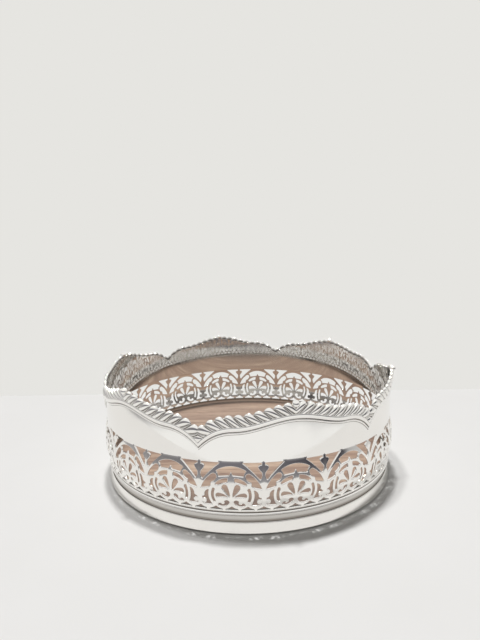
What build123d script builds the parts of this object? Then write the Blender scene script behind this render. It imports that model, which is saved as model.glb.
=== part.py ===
from build123d import *

import os
from math import cos, pi, radians, sin, sqrt

# A wine bottle coaster: a pierced, silver-plated wall with a scalloped and gadrooned rim on a turned
# wooden base. Millimetres, +Z up. The origin is the centre of the underside, and a rim peak faces -Y.

# Counts
scallop_count = 6            # rim scallops, one gadroon section each
repeats_per_scallop = 3      # palmettes under each scallop
lobes_per_half = 10          # gadroon lobes from a rim peak to a valley
loft_steps_per_half = 12     # profile sections from a rim peak to a valley

# Wall
neck_radius = 119.4          # outer face of the collar, and of the gallery's top edge
sheet_thickness = 1.2        # sheet of the gallery and of the collar
belly_swell = 2.0            # the gallery's belly stands this far outside the neck
belly_height = 15.0          # widest line of the belly above the gallery's lower edge
gallery_height = 35.0        # lower edge to the crease under the collar
gallery_foot_inset = 1.2     # the gallery's lower edge lies this far inside the neck

# Rim line, as heights above the crease
shoulder_height = 19.5       # lower edge of the border along the shoulders of a scallop
border_height = 10.4         # lower to upper edge of the border along the shoulders
hump_height = 7.0            # rise of the rim from the shoulders to the peak
hump_reach = 0.65            # part of the half scallop that the hump takes
beak_start = 0.60            # part of the half scallop where the rim starts to fall to the valley
beak_power = 2.36            # how late the fall comes
beak_drop = 11.2             # fall of the border's lower edge to the valley's point
valley_drop = 8.8            # fall of the border's upper edge to the valley
rim_overhang = 1.2           # the border rises this far above the collar's own edge
valley_land = 0.6            # short level cut at the bottom of each valley of the collar

# Gadroon border
thread_height = 2.6          # plain rounded thread along the border's lower edge
thread_proud = 1.5           # how far the thread stands off the collar
quirk_proud = 0.7            # bottom of the hollow between the thread and the lobes
lobe_proud = 2.2             # crown of the lobes off the collar
lip_proud = 0.5              # upper edge of the border off the collar
flute_radius = 0.9           # rounded flutes that part the lobes
flute_depth = 0.8
flute_slant = 32.0           # lean of the flutes away from the peak, degrees from upright
crest_ball_radius = 1.9      # ball at each peak
crest_ball_proud = 1.0       # its centre off the collar

# Foot ring and wire
foot_band_height = 7.0       # rounded lowest band
foot_band_proud = 0.0        # widest line of the band outside the neck
foot_band_roll = 1.8         # the band's edges lie this far inside its widest line
cove_height = 6.0            # hollow moulding above the band
cove_depth = 1.7             # throat of the hollow inside the gallery's lower edge
cove_step = 0.3              # the hollow starts this far inside the band's upper edge
wire_seat_height = 2.0       # upright strip that carries the wire
wire_height = 1.6            # half-round wire
wire_depth = 0.8
wire_drop = 0.2              # top of the wire below the gallery's lower edge
foot_wall = 1.3              # metal behind the throat of the hollow
upstand_height = 1.2         # inner edge that locates the gallery
upstand_thickness = 0.9
solder_gap = 0.1             # between that edge and the gallery
lip_width = 4.5              # lower edge turned in under the board
lip_thickness = 1.2

# Base
board_thickness = 12.5
board_clearance = 0.1        # all round the board in the foot ring
lip_clearance = 0.2          # between the turned-in lip and the board's rebate
board_edge_round = 1.0
baize_thickness = 1.0
baize_margin = 1.2           # the baize stops this far inside the foot's lower edge

# Heights that follow
foot_bottom = baize_thickness
band_top = foot_bottom + foot_band_height
cove_top = band_top + cove_height
gallery_foot = cove_top + wire_seat_height
crease = gallery_foot + gallery_height
floor_height = baize_thickness + board_thickness

# Radii that follow
gallery_foot_radius = neck_radius - gallery_foot_inset
band_radius = neck_radius + foot_band_proud
band_edge_radius = band_radius - foot_band_roll
throat_radius = gallery_foot_radius - cove_depth
foot_inner_radius = throat_radius - foot_wall
upstand_radius = gallery_foot_radius - sheet_thickness - solder_gap
lip_inner_radius = foot_inner_radius - lip_width
board_radius = foot_inner_radius - board_clearance
baize_radius = band_edge_radius - baize_margin

# Angles that follow
front = -90.0
scallop_angle = 360.0 / scallop_count
repeat_count = scallop_count * repeats_per_scallop
repeat_angle = 360.0 / repeat_count


def radial_plane(angle):
    """Upright plane through the axis: local x is the radius, local y is the height."""
    return Plane.XZ.rotated((0, 0, angle))


def facing_plane(angle):
    """Upright plane through the axis that looks outward at an angle: local y is the height."""
    outward = Vector(cos(radians(angle)), sin(radians(angle)), 0)
    along = Vector(-sin(radians(angle)), cos(radians(angle)), 0)
    return Plane(origin=(0, 0, 0), x_dir=along, z_dir=outward)


def hump(share):
    """Rise of the rim at a share of the half scallop, 0 at the peak and 1 at the valley."""
    return hump_height * 0.5 * (1 + cos(pi * min(abs(share) / hump_reach, 1)))


def beak(share):
    """Part of the fall to the valley that is done at a share of the half scallop."""
    return max(0, (abs(share) - beak_start) / (1 - beak_start)) ** beak_power


def border_bottom(share):
    """Height of the border's lower edge."""
    return crease + shoulder_height + hump(share) - beak_drop * beak(share)


def border_top(share):
    """Height of the border's upper edge."""
    return crease + shoulder_height + border_height + hump(share) - valley_drop * beak(share)


# Baize pad: a thin felt disc glued under the board and the foot's lip.
with BuildPart() as baize_pad:
    Cylinder(baize_radius, baize_thickness, align=(Align.CENTER, Align.CENTER, Align.MIN))

# Base board: a turned disc with a rebate under its edge for the foot's lip.
with BuildPart() as base_board:
    with BuildSketch(Plane.XZ):
        with BuildLine():
            rebate_radius = lip_inner_radius - lip_clearance
            rebate_top = foot_bottom + lip_thickness
            Polyline(
                (0, floor_height),
                (0, baize_thickness),
                (rebate_radius, baize_thickness),
                (rebate_radius, rebate_top),
                (board_radius, rebate_top),
                (board_radius, floor_height),
                close=True,
            )
        make_face()
    revolve(axis=Axis.Z)
    upper_edge = base_board.edges().filter_by(GeomType.CIRCLE).group_by(Axis.Z)[-1]
    fillet(upper_edge, board_edge_round)

# Foot ring: a filled moulding with a rounded band, a cove and a strip for the wire. Its lower edge
# turns in under the board, and an edge inside its top locates the gallery.
with BuildPart() as foot_ring:
    with BuildSketch(Plane.XZ):
        with BuildLine():
            lip_top = foot_bottom + lip_thickness
            upstand_top = gallery_foot + upstand_height
            upstand_inner = upstand_radius - upstand_thickness
            Line((lip_inner_radius, foot_bottom), (band_edge_radius, foot_bottom))
            ThreePointArc(
                (band_edge_radius, foot_bottom),
                (band_radius, foot_bottom + foot_band_height / 2),
                (band_edge_radius, band_top),
            )
            Line((band_edge_radius, band_top), (band_edge_radius - cove_step, band_top))
            ThreePointArc(
                (band_edge_radius - cove_step, band_top),
                (throat_radius, band_top + cove_height / 2),
                (gallery_foot_radius, cove_top),
            )
            Polyline(
                (gallery_foot_radius, cove_top),
                (gallery_foot_radius, gallery_foot),
                (upstand_radius, gallery_foot),
                (upstand_radius, upstand_top),
                (upstand_inner, upstand_top),
                (upstand_inner, gallery_foot),
                (foot_inner_radius, cove_top),
                (foot_inner_radius, lip_top),
                (lip_inner_radius, lip_top),
                (lip_inner_radius, foot_bottom),
            )
        make_face()
    revolve(axis=Axis.Z)

# Seam wire: half-round wire soldered round the strip under the gallery.
with BuildPart() as seam_wire:
    with BuildSketch(Plane.XZ):
        with BuildLine():
            wire_top = gallery_foot - wire_drop
            wire_bottom = wire_top - wire_height
            wire_middle = wire_top - wire_height / 2
            Line((gallery_foot_radius, wire_top), (gallery_foot_radius, wire_bottom))
            ThreePointArc(
                (gallery_foot_radius, wire_bottom),
                (gallery_foot_radius + wire_depth, wire_middle),
                (gallery_foot_radius, wire_top),
            )
        make_face()
    revolve(axis=Axis.Z)

# Ornament of one repeat of the gallery, as it is drawn before it stretches to the gallery's own size.
# Points are from the palmette's upright and the gallery's lower edge. An outline is a ring of corners,
# each with the point that the arc to the next corner passes through, or None for a line.
palmette_height = 11.9       # centre of the circle, the arch and the slots round the palmette
slot_outer_radius = 12.8     # slots inside the circle
side_slot_width = 1.7
upper_slot_width = 3.0
circle_band = 1.2            # circle round the slots
boot_gap = 0.9               # from the circle to the boot-shaped opening beside it
crescent_width = 6.1         # from the circle to the arch
arch_band = 1.8
arch_meet = 0.75             # neighbouring arches meet this far outside their inner edge
arch_overlap = 0.4           # the arch's crown runs this far into the plain band above
rim_band = 1.6               # plain band along the gallery's upper edge
spandrel_tip = 0.55          # blunt end of a spandrel over the arch
tent_half_width = 4.0        # small openings along the gallery's lower edge
tent_foot = 1.4
tent_end = 0.35
tent_waist = 1.6
tent_eaves = 2.3
tent_peak = 3.3
tents_per_repeat = 4

circle_radius = slot_outer_radius + circle_band
boot_radius = circle_radius + boot_gap
arch_radius = circle_radius + crescent_width
spandrel_radius = arch_radius + arch_band
side_slot_inner_radius = slot_outer_radius - side_slot_width
upper_slot_inner_radius = slot_outer_radius - upper_slot_width
spandrel_top = palmette_height + spandrel_radius - arch_overlap
tip_rise = spandrel_radius - arch_overlap - spandrel_tip
drawn_half_width = arch_radius + arch_meet
drawn_height = spandrel_top + rim_band

across = neck_radius * sin(radians(repeat_angle / 2)) / drawn_half_width
upward = gallery_height / drawn_height


def around(radius, angle):
    """Point on a circle round the palmette's centre, angle from the right."""
    return (radius * cos(radians(angle)), palmette_height + radius * sin(radians(angle)))


def inside(x, y):
    """Point inside the circle, from its centre, in shares of the slots' radius."""
    return (x * slot_outer_radius, palmette_height + y * slot_outer_radius)


def beside(inset, height):
    """Point at a distance in from the repeat's right side."""
    return (drawn_half_width - inset, height)


def below(inset, drop):
    """Point at a distance in from the repeat's right side and down from the plain band."""
    return beside(inset, spandrel_top - drop)


def fitted(point, shift=0.0):
    """Place of a drawn point in the repeat's upright plane."""
    return (point[0] * across + shift, gallery_foot + point[1] * upward)


def draw_opening(outline, shift=0.0):
    """Adds one pierced opening to the sketch that is being built."""
    with BuildLine() as border:
        for (start, through), (end, _) in zip(outline, outline[1:] + outline[:1]):
            if through is None:
                Line(fitted(start, shift), fitted(end, shift))
            else:
                ThreePointArc(fitted(start, shift), fitted(through, shift), fitted(end, shift))
    make_face(border.edges())


upper_petal = [
    (inside(0.086, -0.008), inside(0.289, 0.172)),
    (inside(0.438, 0.414), inside(0.383, 0.555)),
    (inside(0.203, 0.523), inside(0.102, 0.266)),
]
side_petal = [
    (inside(0.188, -0.125), inside(0.336, 0.063)),
    (inside(0.578, 0.125), inside(0.75, 0.016)),
    (inside(0.656, -0.109), inside(0.438, -0.039)),
]
scroll = [
    ((1.7, 6.4), (3.1, 8.5)),
    ((4.6, 7.0), (5.0, 5.8)),
    ((7.4, 5.8), None),
    ((8.8, 4.2), (3.6, 4.4)),
]
side_slot = [
    (around(side_slot_inner_radius, -20), around(side_slot_inner_radius, 2)),
    (around(side_slot_inner_radius, 23), None),
    (around(slot_outer_radius, 23), around(slot_outer_radius, 2)),
    (around(slot_outer_radius, -20), None),
]
upper_slot = [
    (around(upper_slot_inner_radius, 43), around(upper_slot_inner_radius, 61)),
    (around(upper_slot_inner_radius, 80), None),
    (around(slot_outer_radius, 82), around(slot_outer_radius, 61)),
    (around(slot_outer_radius, 42), None),
]
side_crescent = [
    (around(arch_radius, 13), around(arch_radius, 35)),
    (around(arch_radius, 54), around(circle_radius + 3.7, 56)),
    (around(circle_radius + 0.8, 53.5), None),
    (around(circle_radius, 43), None),
    (around(circle_radius + 1.7, 32), around(circle_radius + 0.9, 26)),
    (around(circle_radius + 2.2, 20), None),
]
top_crescent = [
    (around(arch_radius, 60), around(arch_radius, 90)),
    (around(arch_radius, 120), None),
    (around(circle_radius, 122), around(circle_radius, 110)),
    (around(circle_radius, 95), None),
    (around(circle_radius + 1.9, 90), None),
    (around(circle_radius, 85), around(circle_radius, 70)),
    (around(circle_radius, 58), None),
]
spandrel_start = sqrt(spandrel_radius**2 - tip_rise**2)
spandrel = [
    ((spandrel_start, palmette_height + tip_rise), None),
    ((spandrel_start + 1.6, spandrel_top), None),
    (below(1.25, 0), None),
    (below(0.95, 1.2), below(2.55, 1.6)),
    (below(3.65, 2.6), below(2.95, 4.2)),
    (below(1.35, 6.0), below(1.05, 8.0)),
    (around(spandrel_radius, 31), around(spandrel_radius, 52)),
]
boot = [
    (around(boot_radius, 15), beside(4.15, 14.3)),
    (beside(3.65, 11.6), beside(2.95, 10.5)),
    (beside(1.75, 10.2), None),
    (beside(1.75, 8.4), beside(4.25, 7.0)),
    (beside(1.55, 5.8), beside(1.95, 4.9)),
    (beside(3.25, 4.4), None),
    (around(boot_radius, -28), around(boot_radius, -7)),
]
tent = [
    ((-tent_half_width, tent_foot), None),
    ((-tent_half_width, tent_foot + tent_end), (-tent_waist, tent_eaves)),
    ((0, tent_peak), (tent_waist, tent_eaves)),
    ((tent_half_width, tent_foot + tent_end), None),
    ((tent_half_width, tent_foot), None),
]
paired_openings = (
    upper_petal, side_petal, scroll, side_slot, upper_slot, side_crescent, spandrel, boot,
)

# Pierced gallery: one repeat of the bellied sheet is cut, and its faces are set round the axis and sewn.
wedge_plane = radial_plane(front - repeat_angle / 2)
repeat_plane = facing_plane(front)
belly_line = gallery_foot + belly_height

with BuildSketch(wedge_plane) as wall_section:
    with BuildLine():
        outer_belly = (neck_radius + belly_swell, belly_line)
        outer_top = (neck_radius, crease)
        outer_foot = (gallery_foot_radius, gallery_foot)
        inner_belly = (neck_radius + belly_swell - sheet_thickness, belly_line)
        inner_top = (neck_radius - sheet_thickness, crease)
        inner_foot = (gallery_foot_radius - sheet_thickness, gallery_foot)
        TangentArc(outer_belly, outer_top, tangent=(0, 1))
        TangentArc(outer_belly, outer_foot, tangent=(0, -1))
        TangentArc(inner_belly, inner_top, tangent=(0, 1))
        TangentArc(inner_belly, inner_foot, tangent=(0, -1))
        Line(outer_top, inner_top)
        Line(outer_foot, inner_foot)
    make_face()

with BuildSketch(repeat_plane) as repeat_openings:
    for outline in paired_openings:
        draw_opening(outline)
        draw_opening([((-x, y), None if via is None else (-via[0], via[1])) for (x, y), via in outline])
    draw_opening(top_crescent)
    tent_pitch = 2 * drawn_half_width * across / tents_per_repeat
    for place in range(tents_per_repeat + 1):
        draw_opening(tent, (place - tents_per_repeat / 2) * tent_pitch)

with BuildPart() as gallery_repeat:
    revolve(wall_section.sketch, axis=Axis.Z, revolution_arc=repeat_angle)
    extrude(repeat_openings.sketch, amount=neck_radius + 2 * belly_swell, mode=Mode.SUBTRACT)

cut_planes = (wedge_plane, radial_plane(front + repeat_angle / 2))
plane_tolerance = 1e-4


def is_cut_face(face):
    """True for the flat faces where one repeat meets the next."""
    centre = face.center()
    offsets = [abs(plane.to_local_coords(centre).Z) for plane in cut_planes]
    return face.is_planar and min(offsets) < plane_tolerance


repeat_faces = gallery_repeat.faces().filter_by(is_cut_face, reverse=True)
gallery_faces = [
    face.rotate(Axis.Z, turn * repeat_angle) for turn in range(repeat_count) for face in repeat_faces
]
with BuildPart() as pierced_gallery:
    add(Solid(Shell(gallery_faces)))

# Plain collar: a cylinder of the same sheet, joined at a valley, with its upper edge cut to the scallops.
collar_middle_radius = neck_radius - sheet_thickness / 2
collar_blank_height = border_top(0) - crease
cutter_reach = neck_radius / 4

with BuildSketch(facing_plane(front).offset(neck_radius - cutter_reach)) as scallop_waste:
    shares = [step / loft_steps_per_half for step in range(loft_steps_per_half + 1)]
    edge_points = [
        (
            collar_middle_radius * sin(radians(share * scallop_angle / 2)),
            border_top(share) - rim_overhang,
        )
        for share in shares
    ]
    valley_x, valley_z = edge_points[-1]
    waste_top = crease + 2 * collar_blank_height
    with BuildLine():
        Polyline(*edge_points)
        Polyline(
            (valley_x, valley_z),
            (valley_x + valley_land, valley_z),
            (valley_x + valley_land, waste_top),
            (0, waste_top),
            edge_points[0],
        )
    make_face()
    mirror(about=Plane.YZ)

with BuildPart() as scallop_cutter:
    extrude(scallop_waste.sketch, amount=2 * cutter_reach)

with BuildPart() as plain_collar:
    with BuildSketch(Plane.XY.offset(crease).rotated((0, 0, front + scallop_angle / 2))):
        Circle(neck_radius)
        Circle(neck_radius - sheet_thickness, mode=Mode.SUBTRACT)
    extrude(amount=collar_blank_height)
    for number in range(scallop_count):
        with PolarLocations(0, 1, start_angle=number * scallop_angle):
            add(scallop_cutter.part, mode=Mode.SUBTRACT)

# Gadroon section: a moulding that follows one scallop, with a plain thread below and fluted lobes above.
# Each flute is a ring that bends over the crown of the moulding and leans away from the peak.
flute_length = (border_height - thread_height) / cos(radians(flute_slant))
crown_rise = lobe_proud - (quirk_proud + lip_proud) / 2
flute_bend = (flute_length**2 / 4 + crown_rise**2) / (2 * crown_rise)
flute_centre_radius = neck_radius + lobe_proud + flute_radius - flute_depth - flute_bend


def flute_place(share):
    """Where a flute's ring lies, at a share of the half scallop."""
    facing = facing_plane(front + share * scallop_angle / 2)
    lean = radians(flute_slant if share > 0 else -flute_slant)
    along = facing.x_dir * sin(lean) + Vector(0, 0, cos(lean))
    middle = (border_bottom(share) + thread_height + border_top(share)) / 2
    centre = facing.from_local_coords((0, middle, flute_centre_radius))
    return Plane(centre, x_dir=facing.z_dir, z_dir=facing.z_dir.cross(along)).location


flute_places = [
    flute_place(side * flute / lobes_per_half) for side in (-1, 1) for flute in range(1, lobes_per_half)
]

with BuildPart() as gadroon_section:
    for step in range(-loft_steps_per_half, loft_steps_per_half + 1):
        share = sin(pi / 2 * step / loft_steps_per_half)
        bottom = border_bottom(share)
        top = border_top(share)
        quirk = bottom + thread_height
        back_radius = neck_radius - sheet_thickness
        with BuildSketch(radial_plane(front + share * scallop_angle / 2)):
            with BuildLine():
                ThreePointArc(
                    (neck_radius, bottom),
                    (neck_radius + thread_proud, bottom + thread_height / 2),
                    (neck_radius + quirk_proud, quirk),
                )
                ThreePointArc(
                    (neck_radius + quirk_proud, quirk),
                    (neck_radius + lobe_proud, (quirk + top) / 2),
                    (neck_radius + lip_proud, top),
                )
                Polyline(
                    (neck_radius + lip_proud, top),
                    (back_radius, top),
                    (back_radius, bottom),
                    (neck_radius, bottom),
                )
            make_face()
    loft(ruled=True)
    peak = facing_plane(front)
    with Locations(peak.from_local_coords((0, border_top(0), neck_radius + crest_ball_proud))):
        Sphere(crest_ball_radius)
    Cylinder(neck_radius, 2 * border_top(0), mode=Mode.SUBTRACT)
    with Locations(*flute_places):
        Torus(flute_bend, flute_radius, mode=Mode.SUBTRACT)

# Files
pieces = {
    "baize_pad": baize_pad.part,
    "base_board": base_board.part,
    "foot_ring": foot_ring.part,
    "seam_wire": seam_wire.part,
    "pierced_gallery": pierced_gallery.part,
    "plain_collar": plain_collar.part,
}
for number in range(scallop_count):
    with BuildPart() as placed_section:
        with PolarLocations(0, 1, start_angle=number * scallop_angle):
            add(gadroon_section.part)
    pieces[f"gadroon_section_{number + 1}"] = placed_section.part

os.makedirs("parts", exist_ok=True)
for name, piece in pieces.items():
    piece.label = name
    export_step(piece, f"parts/{name}.step")
    print(name, round(piece.volume), "mm3")
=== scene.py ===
# %% [markdown]
# # A wine coaster in silver plate
# A coaster of this kind is a shallow silver-plated ring round a turned wooden floor. It keeps drips and
# scratches off the table. Its wall is pierced with palmettes under arches, and its rim rises in six
# scallops, each edged with an applied gadroon border.
#
# The CAD frame already holds every piece at its real size. This lesson builds the surfaces that the eye
# meets: rounded edges on the piercing, swept gadroon lobes, polished silver and grained mahogany.

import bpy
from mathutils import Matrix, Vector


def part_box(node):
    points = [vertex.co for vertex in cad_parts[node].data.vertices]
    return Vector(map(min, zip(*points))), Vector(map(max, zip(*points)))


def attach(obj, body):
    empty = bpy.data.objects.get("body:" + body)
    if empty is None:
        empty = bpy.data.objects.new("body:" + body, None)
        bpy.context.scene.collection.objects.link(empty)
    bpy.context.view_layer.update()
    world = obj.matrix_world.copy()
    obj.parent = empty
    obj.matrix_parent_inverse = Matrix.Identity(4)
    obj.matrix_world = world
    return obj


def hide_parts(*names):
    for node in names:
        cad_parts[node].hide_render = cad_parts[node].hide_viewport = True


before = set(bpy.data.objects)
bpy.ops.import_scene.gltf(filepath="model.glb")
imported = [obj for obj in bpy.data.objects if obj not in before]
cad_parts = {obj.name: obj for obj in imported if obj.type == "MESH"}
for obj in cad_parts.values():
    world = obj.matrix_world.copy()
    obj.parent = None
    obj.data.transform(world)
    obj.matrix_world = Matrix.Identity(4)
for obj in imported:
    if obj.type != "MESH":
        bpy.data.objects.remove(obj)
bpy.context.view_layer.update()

import ast
import cmath
import math

import bmesh
import bpy
import numpy as np
from mathutils import Matrix, Vector
from mathutils.geometry import delaunay_2d_cdt

MM = 0.001
print("frame nodes:", sorted(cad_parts))

# %% [markdown]
# ## Sizes that come from the frame
# Places are read from the boxes of the CAD nodes, so the dressed pieces sit where the solids are. Only
# the sizes that a box can't tell, such as the swell of the belly, are written again, in millimetres.

# %% Read the main sizes
neck_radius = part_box("plain_collar")[1].x
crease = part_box("plain_collar")[0].z
gallery_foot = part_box("pierced_gallery")[0].z
gallery_height = crease - gallery_foot
belly_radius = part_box("pierced_gallery")[1].x
floor_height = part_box("base_board")[1].z
board_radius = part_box("base_board")[1].x
baize_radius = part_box("baize_pad")[1].x
baize_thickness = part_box("baize_pad")[1].z
foot_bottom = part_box("foot_ring")[0].z
foot_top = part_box("foot_ring")[1].z
sheet_thickness = 1.2 * MM
inside_tarnish = 0.25
front_angle = math.radians(-90)
camera_turn = math.radians(-14.5)
scallop_count = 6
scallop_angle = 2 * math.pi / scallop_count
print(f"neck radius {neck_radius / MM:.1f} mm, crease at {crease / MM:.1f} mm")

# %% [markdown]
# ## One helper for nodes
# Materials and Geometry Nodes trees are built the same way: add a node, set its options, then fill its
# inputs with plain values or with links. One small function adds every node.


# %% Add a node, and write colours as sRGB hex
def fill(tree, node, inputs):
    """Fills a node's inputs with plain values or with links."""
    for socket, value in inputs.items():
        if isinstance(value, bpy.types.NodeSocket):
            tree.links.new(value, node.inputs[socket])
        else:
            node.inputs[socket].default_value = value


def add_node(tree, kind, inputs=None, **options):
    """Adds a node, sets its options and fills its inputs."""
    node = tree.nodes.new(kind)
    for option, value in options.items():
        setattr(node, option, value)
    fill(tree, node, inputs or {})
    return node


def linear(hex_colour):
    """Turns an sRGB hex colour to the linear values that shaders use."""
    shares = [int(hex_colour[i : i + 2], 16) / 255 for i in (1, 3, 5)]
    return [s / 12.92 if s <= 0.04045 else ((s + 0.055) / 1.055) ** 2.4 for s in shares] + [1.0]


def set_stops(ramp, stops):
    """Sets the colour stops of a ramp, each a position and a hex colour."""
    elements = ramp.color_ramp.elements
    while len(elements) < len(stops):
        elements.new(0.5)
    for element, (position, shade) in zip(elements, stops):
        element.position = position
        element.color = linear(shade)


def new_material(name):
    """A material with its tree, its Principled shader and the place of each point on the piece."""
    material = bpy.data.materials.new(name)
    material.use_nodes = True
    tree = material.node_tree
    place = add_node(tree, "ShaderNodeTexCoord").outputs["Object"]
    return material, tree, tree.nodes["Principled BSDF"], place


# %% [markdown]
# ## Silver plate
# Silver plate is a thin coat of silver on a base metal, buffed to a mirror. Its colour is nearly white,
# so what the eye sees is what lies around it. Three small faults keep it from looking like chrome: soft
# smudges from handling, low hills left by the planishing hammer, and tarnish that cloths don't reach.
# A point attribute called recess, which the mesh of every silver piece carries, darkens the colour
# towards grey. It holds that tarnish, and painted shade in the creases of the foot and the border.


# %% Make the silver
def make_silver_plate():
    """Polished silver plate, with smudges, faint hammer hills, and tarnish and painted shade in the
    recesses.
    """
    material, tree, surface, place = new_material("polished_silver_plate")
    smudge_size, hill_size, hill_height = 16 * MM, 22 * MM, 0.06 * MM
    smudges = add_node(
        tree, "ShaderNodeTexNoise", {"Vector": place, "Scale": 1 / smudge_size, "Detail": 4.0}
    ).outputs["Fac"]
    roughness = add_node(
        tree,
        "ShaderNodeMapRange",
        {"Value": smudges, "From Min": 0.35, "From Max": 0.75, "To Min": 0.035, "To Max": 0.11},
    )
    # The recess attribute darkens the silver towards grey: tarnish, and painted shade in creases.
    recess = add_node(tree, "ShaderNodeAttribute", attribute_name="recess").outputs["Fac"]
    shades = {"Factor": recess, "A": linear("#f7f5f1"), "B": linear("#7d766e")}
    colour = add_node(tree, "ShaderNodeMix", shades, data_type="RGBA")
    hills = add_node(
        tree, "ShaderNodeTexNoise", {"Vector": place, "Scale": 1 / hill_size, "Detail": 1.0}
    ).outputs["Fac"]
    bump = add_node(tree, "ShaderNodeBump", {"Height": hills, "Strength": 0.6, "Distance": hill_height})
    finish = {
        "Metallic": 1.0,
        "Base Color": colour.outputs["Result"],
        "Roughness": roughness.outputs["Result"],
        "Normal": bump.outputs["Normal"],
    }
    fill(tree, surface, finish)
    return material


silver_plate = make_silver_plate()
print("made", silver_plate.name)

# %% [markdown]
# ## Mahogany
# Mahogany is a red-brown hardwood with long fibres, ribbon-like bands where the grain changes its lean,
# and fine open pores that show as short dark dashes. Stretching the texture space along the grain turns
# round noise into fibres. Three darker layers lie over the bands: the pores, which are the wood's own,
# painted shade over the front of the board, where the front wall shades it, and painted shade in the
# corner under the wall. The board has a satin polish, which is a thin clear coat that isn't quite smooth.


# %% Make the wood
def make_mahogany():
    """Turned and polished mahogany, with its grain across the coaster as the camera sees it."""
    material, tree, surface, place = new_material("polished_mahogany")
    grain_stretch, plank_shift = 14, 12 * MM
    along = add_node(
        tree,
        "ShaderNodeMapping",
        {
            "Vector": place, "Location": (0, plank_shift, 0), "Rotation": (0, 0, camera_turn),
            "Scale": (grain_stretch, 1, 1),
        },
        vector_type="TEXTURE",
    ).outputs["Vector"]
    ribbon_width = 9 * MM
    ribbons = add_node(
        tree,
        "ShaderNodeTexNoise",
        {"Vector": along, "Scale": 1 / ribbon_width, "Detail": 5.0, "Roughness": 0.6},
    )
    bands = add_node(tree, "ShaderNodeValToRGB", {"Fac": ribbons.outputs["Fac"]})
    set_stops(bands, [(0.32, "#866b5c"), (0.48, "#a68a77"), (0.6, "#bfa48e"), (0.72, "#d6c0aa")])
    # Real pores are about a third as wide. They are drawn as coarse as they need to be to show.
    pore_width, pore_depth = 0.7 * MM, 0.05 * MM
    pores = add_node(
        tree, "ShaderNodeTexNoise", {"Vector": along, "Scale": 1 / pore_width, "Detail": 2.0}
    ).outputs["Fac"]
    across = add_node(
        tree, "ShaderNodeVectorRotate", {"Vector": place, "Angle": -camera_turn}, rotation_type="Z_AXIS"
    )
    front_to_back = add_node(tree, "ShaderNodeSeparateXYZ", {0: across.outputs["Vector"]}).outputs["Y"]
    flat_place = add_node(tree, "ShaderNodeVectorMath", {0: place, 1: (1, 1, 0)}, operation="MULTIPLY")
    from_axis = add_node(
        tree, "ShaderNodeVectorMath", {0: flat_place.outputs[0]}, operation="LENGTH"
    ).outputs["Value"]
    front_shade_start, front_shade_end, corner_width = -108 * MM, -58 * MM, 16 * MM
    # Each layer: its kind of fade, what it follows, from where to where, its strength there, its colour.
    stains_and_shade = [
        ("LINEAR", pores, 0.56, 0.7, 0.0, 0.55, "#4d3026"),
        # The last two layers are painted shade: over the front of the board, and in the corner under the
        # wall.
        ("SMOOTHSTEP", front_to_back, front_shade_start, front_shade_end, 0.8, 0.0, "#5d4c44"),
        ("SMOOTHSTEP", from_axis, board_radius - corner_width, board_radius, 0.0, 0.35, "#5a4439"),
    ]
    colour = bands.outputs["Color"]
    strengths = []
    for fade, value, start, end, first, last, shade in stains_and_shade:
        strength = add_node(
            tree,
            "ShaderNodeMapRange",
            {"Value": value, "From Min": start, "From Max": end, "To Min": first, "To Max": last},
            interpolation_type=fade,
        ).outputs["Result"]
        shades = {"Factor": strength, "A": colour, "B": linear(shade)}
        colour = add_node(tree, "ShaderNodeMix", shades, data_type="RGBA").outputs["Result"]
        strengths.append(strength)
    bump = add_node(
        tree,
        "ShaderNodeBump",
        {"Height": strengths[0], "Strength": 0.3, "Distance": pore_depth},
        invert=True,
    )
    finish = {
        "Base Color": colour,
        "Roughness": 0.5,
        "Coat Weight": 0.25,
        "Coat Roughness": 0.32,
        "Normal": bump.outputs["Normal"],
    }
    fill(tree, surface, finish)
    return material


mahogany = make_mahogany()
print("made", mahogany.name)

# %% [markdown]
# ## Baize
# Baize is felted wool. It hides under the board, and only a soft fuzz has to show. Single fibres are too
# fine for that, so tufts about a third of a millimetre wide are drawn.


# %% Make the felt
def make_baize():
    """Felted green wool, matt and tufted."""
    material, tree, surface, place = new_material("green_wool_baize")
    tuft_width, tuft_height = 0.35 * MM, 0.2 * MM
    tufts = add_node(
        tree, "ShaderNodeTexNoise", {"Vector": place, "Scale": 1 / tuft_width, "Detail": 3.0}
    ).outputs["Fac"]
    shades = {"Factor": tufts, "A": linear("#12301f"), "B": linear("#2c5a3c")}
    colour = add_node(tree, "ShaderNodeMix", shades, data_type="RGBA")
    bump = add_node(tree, "ShaderNodeBump", {"Height": tufts, "Strength": 0.8, "Distance": tuft_height})
    finish = {
        "Base Color": colour.outputs["Result"],
        "Roughness": 0.95,
        "Sheen Weight": 0.4,
        "Normal": bump.outputs["Normal"],
    }
    fill(tree, surface, finish)
    return material


baize = make_baize()
print("made", baize.name)

# %% [markdown]
# ## Turned pieces
# The foot ring is spun from sheet on a lathe and the board is turned from a plank, so both are shapes of
# revolution. The Screw modifier could make them, but a short Spin leaves a plain mesh at once. Each
# profile is a list of radius and height, with round stretches sampled from arcs.


# %% Spin a profile
def arc_between(start, bulge, end, steps):
    """Points on the arc through three points, without the last one."""
    first, middle, last = complex(*start), complex(*bulge), complex(*end)
    ratio = (last - first) / (middle - first)
    centre = first + (middle - first) * (ratio - abs(ratio) ** 2) / (2j * ratio.imag)
    turn = cmath.phase((last - centre) / (first - centre))
    if turn * ratio.imag < 0:
        turn += math.copysign(2 * math.pi, ratio.imag)
    spots = [centre + (first - centre) * cmath.exp(1j * turn * n / steps) for n in range(steps)]
    return [(spot.real, spot.imag) for spot in spots]


def add_object(name, data):
    """Adds an object to the scene, at the origin."""
    added = bpy.data.objects.new(name, data)
    bpy.context.scene.collection.objects.link(added)
    return added


def smooth(mesh, degrees):
    """Shades a mesh smooth, apart from edges that turn by more than some degrees."""
    mesh.shade_smooth()
    mesh.set_sharp_from_angle(angle=math.radians(degrees))


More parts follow.
